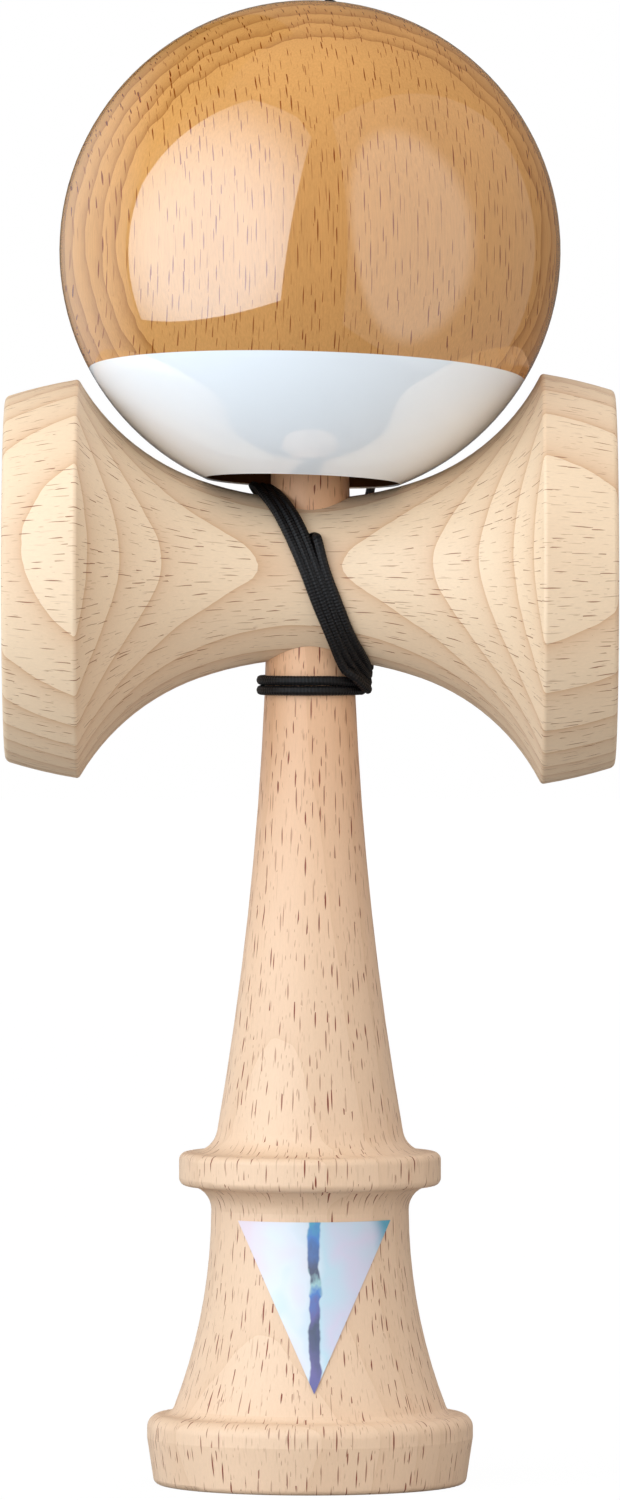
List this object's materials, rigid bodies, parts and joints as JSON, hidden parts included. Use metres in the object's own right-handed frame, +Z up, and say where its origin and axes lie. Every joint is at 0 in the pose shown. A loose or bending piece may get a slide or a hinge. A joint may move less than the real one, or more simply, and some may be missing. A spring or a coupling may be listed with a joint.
{
  "type": "kendama",
  "caption": "Wooden cup-and-ball toy at rest: lacquered ball on the spike of a turned handle with a double-cupped cross piece and a black cord lashed round the crossing.",
  "frame": {"origin": "centre of the handle's foot, on the surface that the toy stands on", "axes": "+Z up along the handle and spike, +X along the cross piece to its larger cup, -Y the front with the cord hole and the label"},
  "size_m": [0.073, 0.06, 0.1786],
  "materials": {
    "handle_wood": "sanded raw beech",
    "cross_wood": "sanded raw beech",
    "ball_lacquer": "gloss lacquer over beech, white lower band",
    "bead": "sanded",
    "cord": "tight braid",
    "foil": "holographic foil"
  },
  "bodies": {
    "ken": {"ken": "handle_wood", "sarado": "cross_wood", "anchor_knot": "cord", "string_lashing": "cord", "foil_label": "foil"},
    "string_end": {"stopper_bead": "bead", "bead_knot": "cord", "string_tail": "cord", "string_lead": "cord"},
    "tama": {"tama": "ball_lacquer"}
  },
  "joints": [
    {"name": "tama_lift", "type": "slide", "parent": "ken", "child": "string_end", "axis": [0, 0, 1], "range_m": [0, 0.045], "deforming": ["string_lead"]},
    {"name": "tama_spin", "type": "hinge", "parent": "string_end", "child": "tama", "pos_m": [0, 0, 0.14775], "axis": [0.0332, 0.0715, 0.9969], "continuous": true}
  ]
}
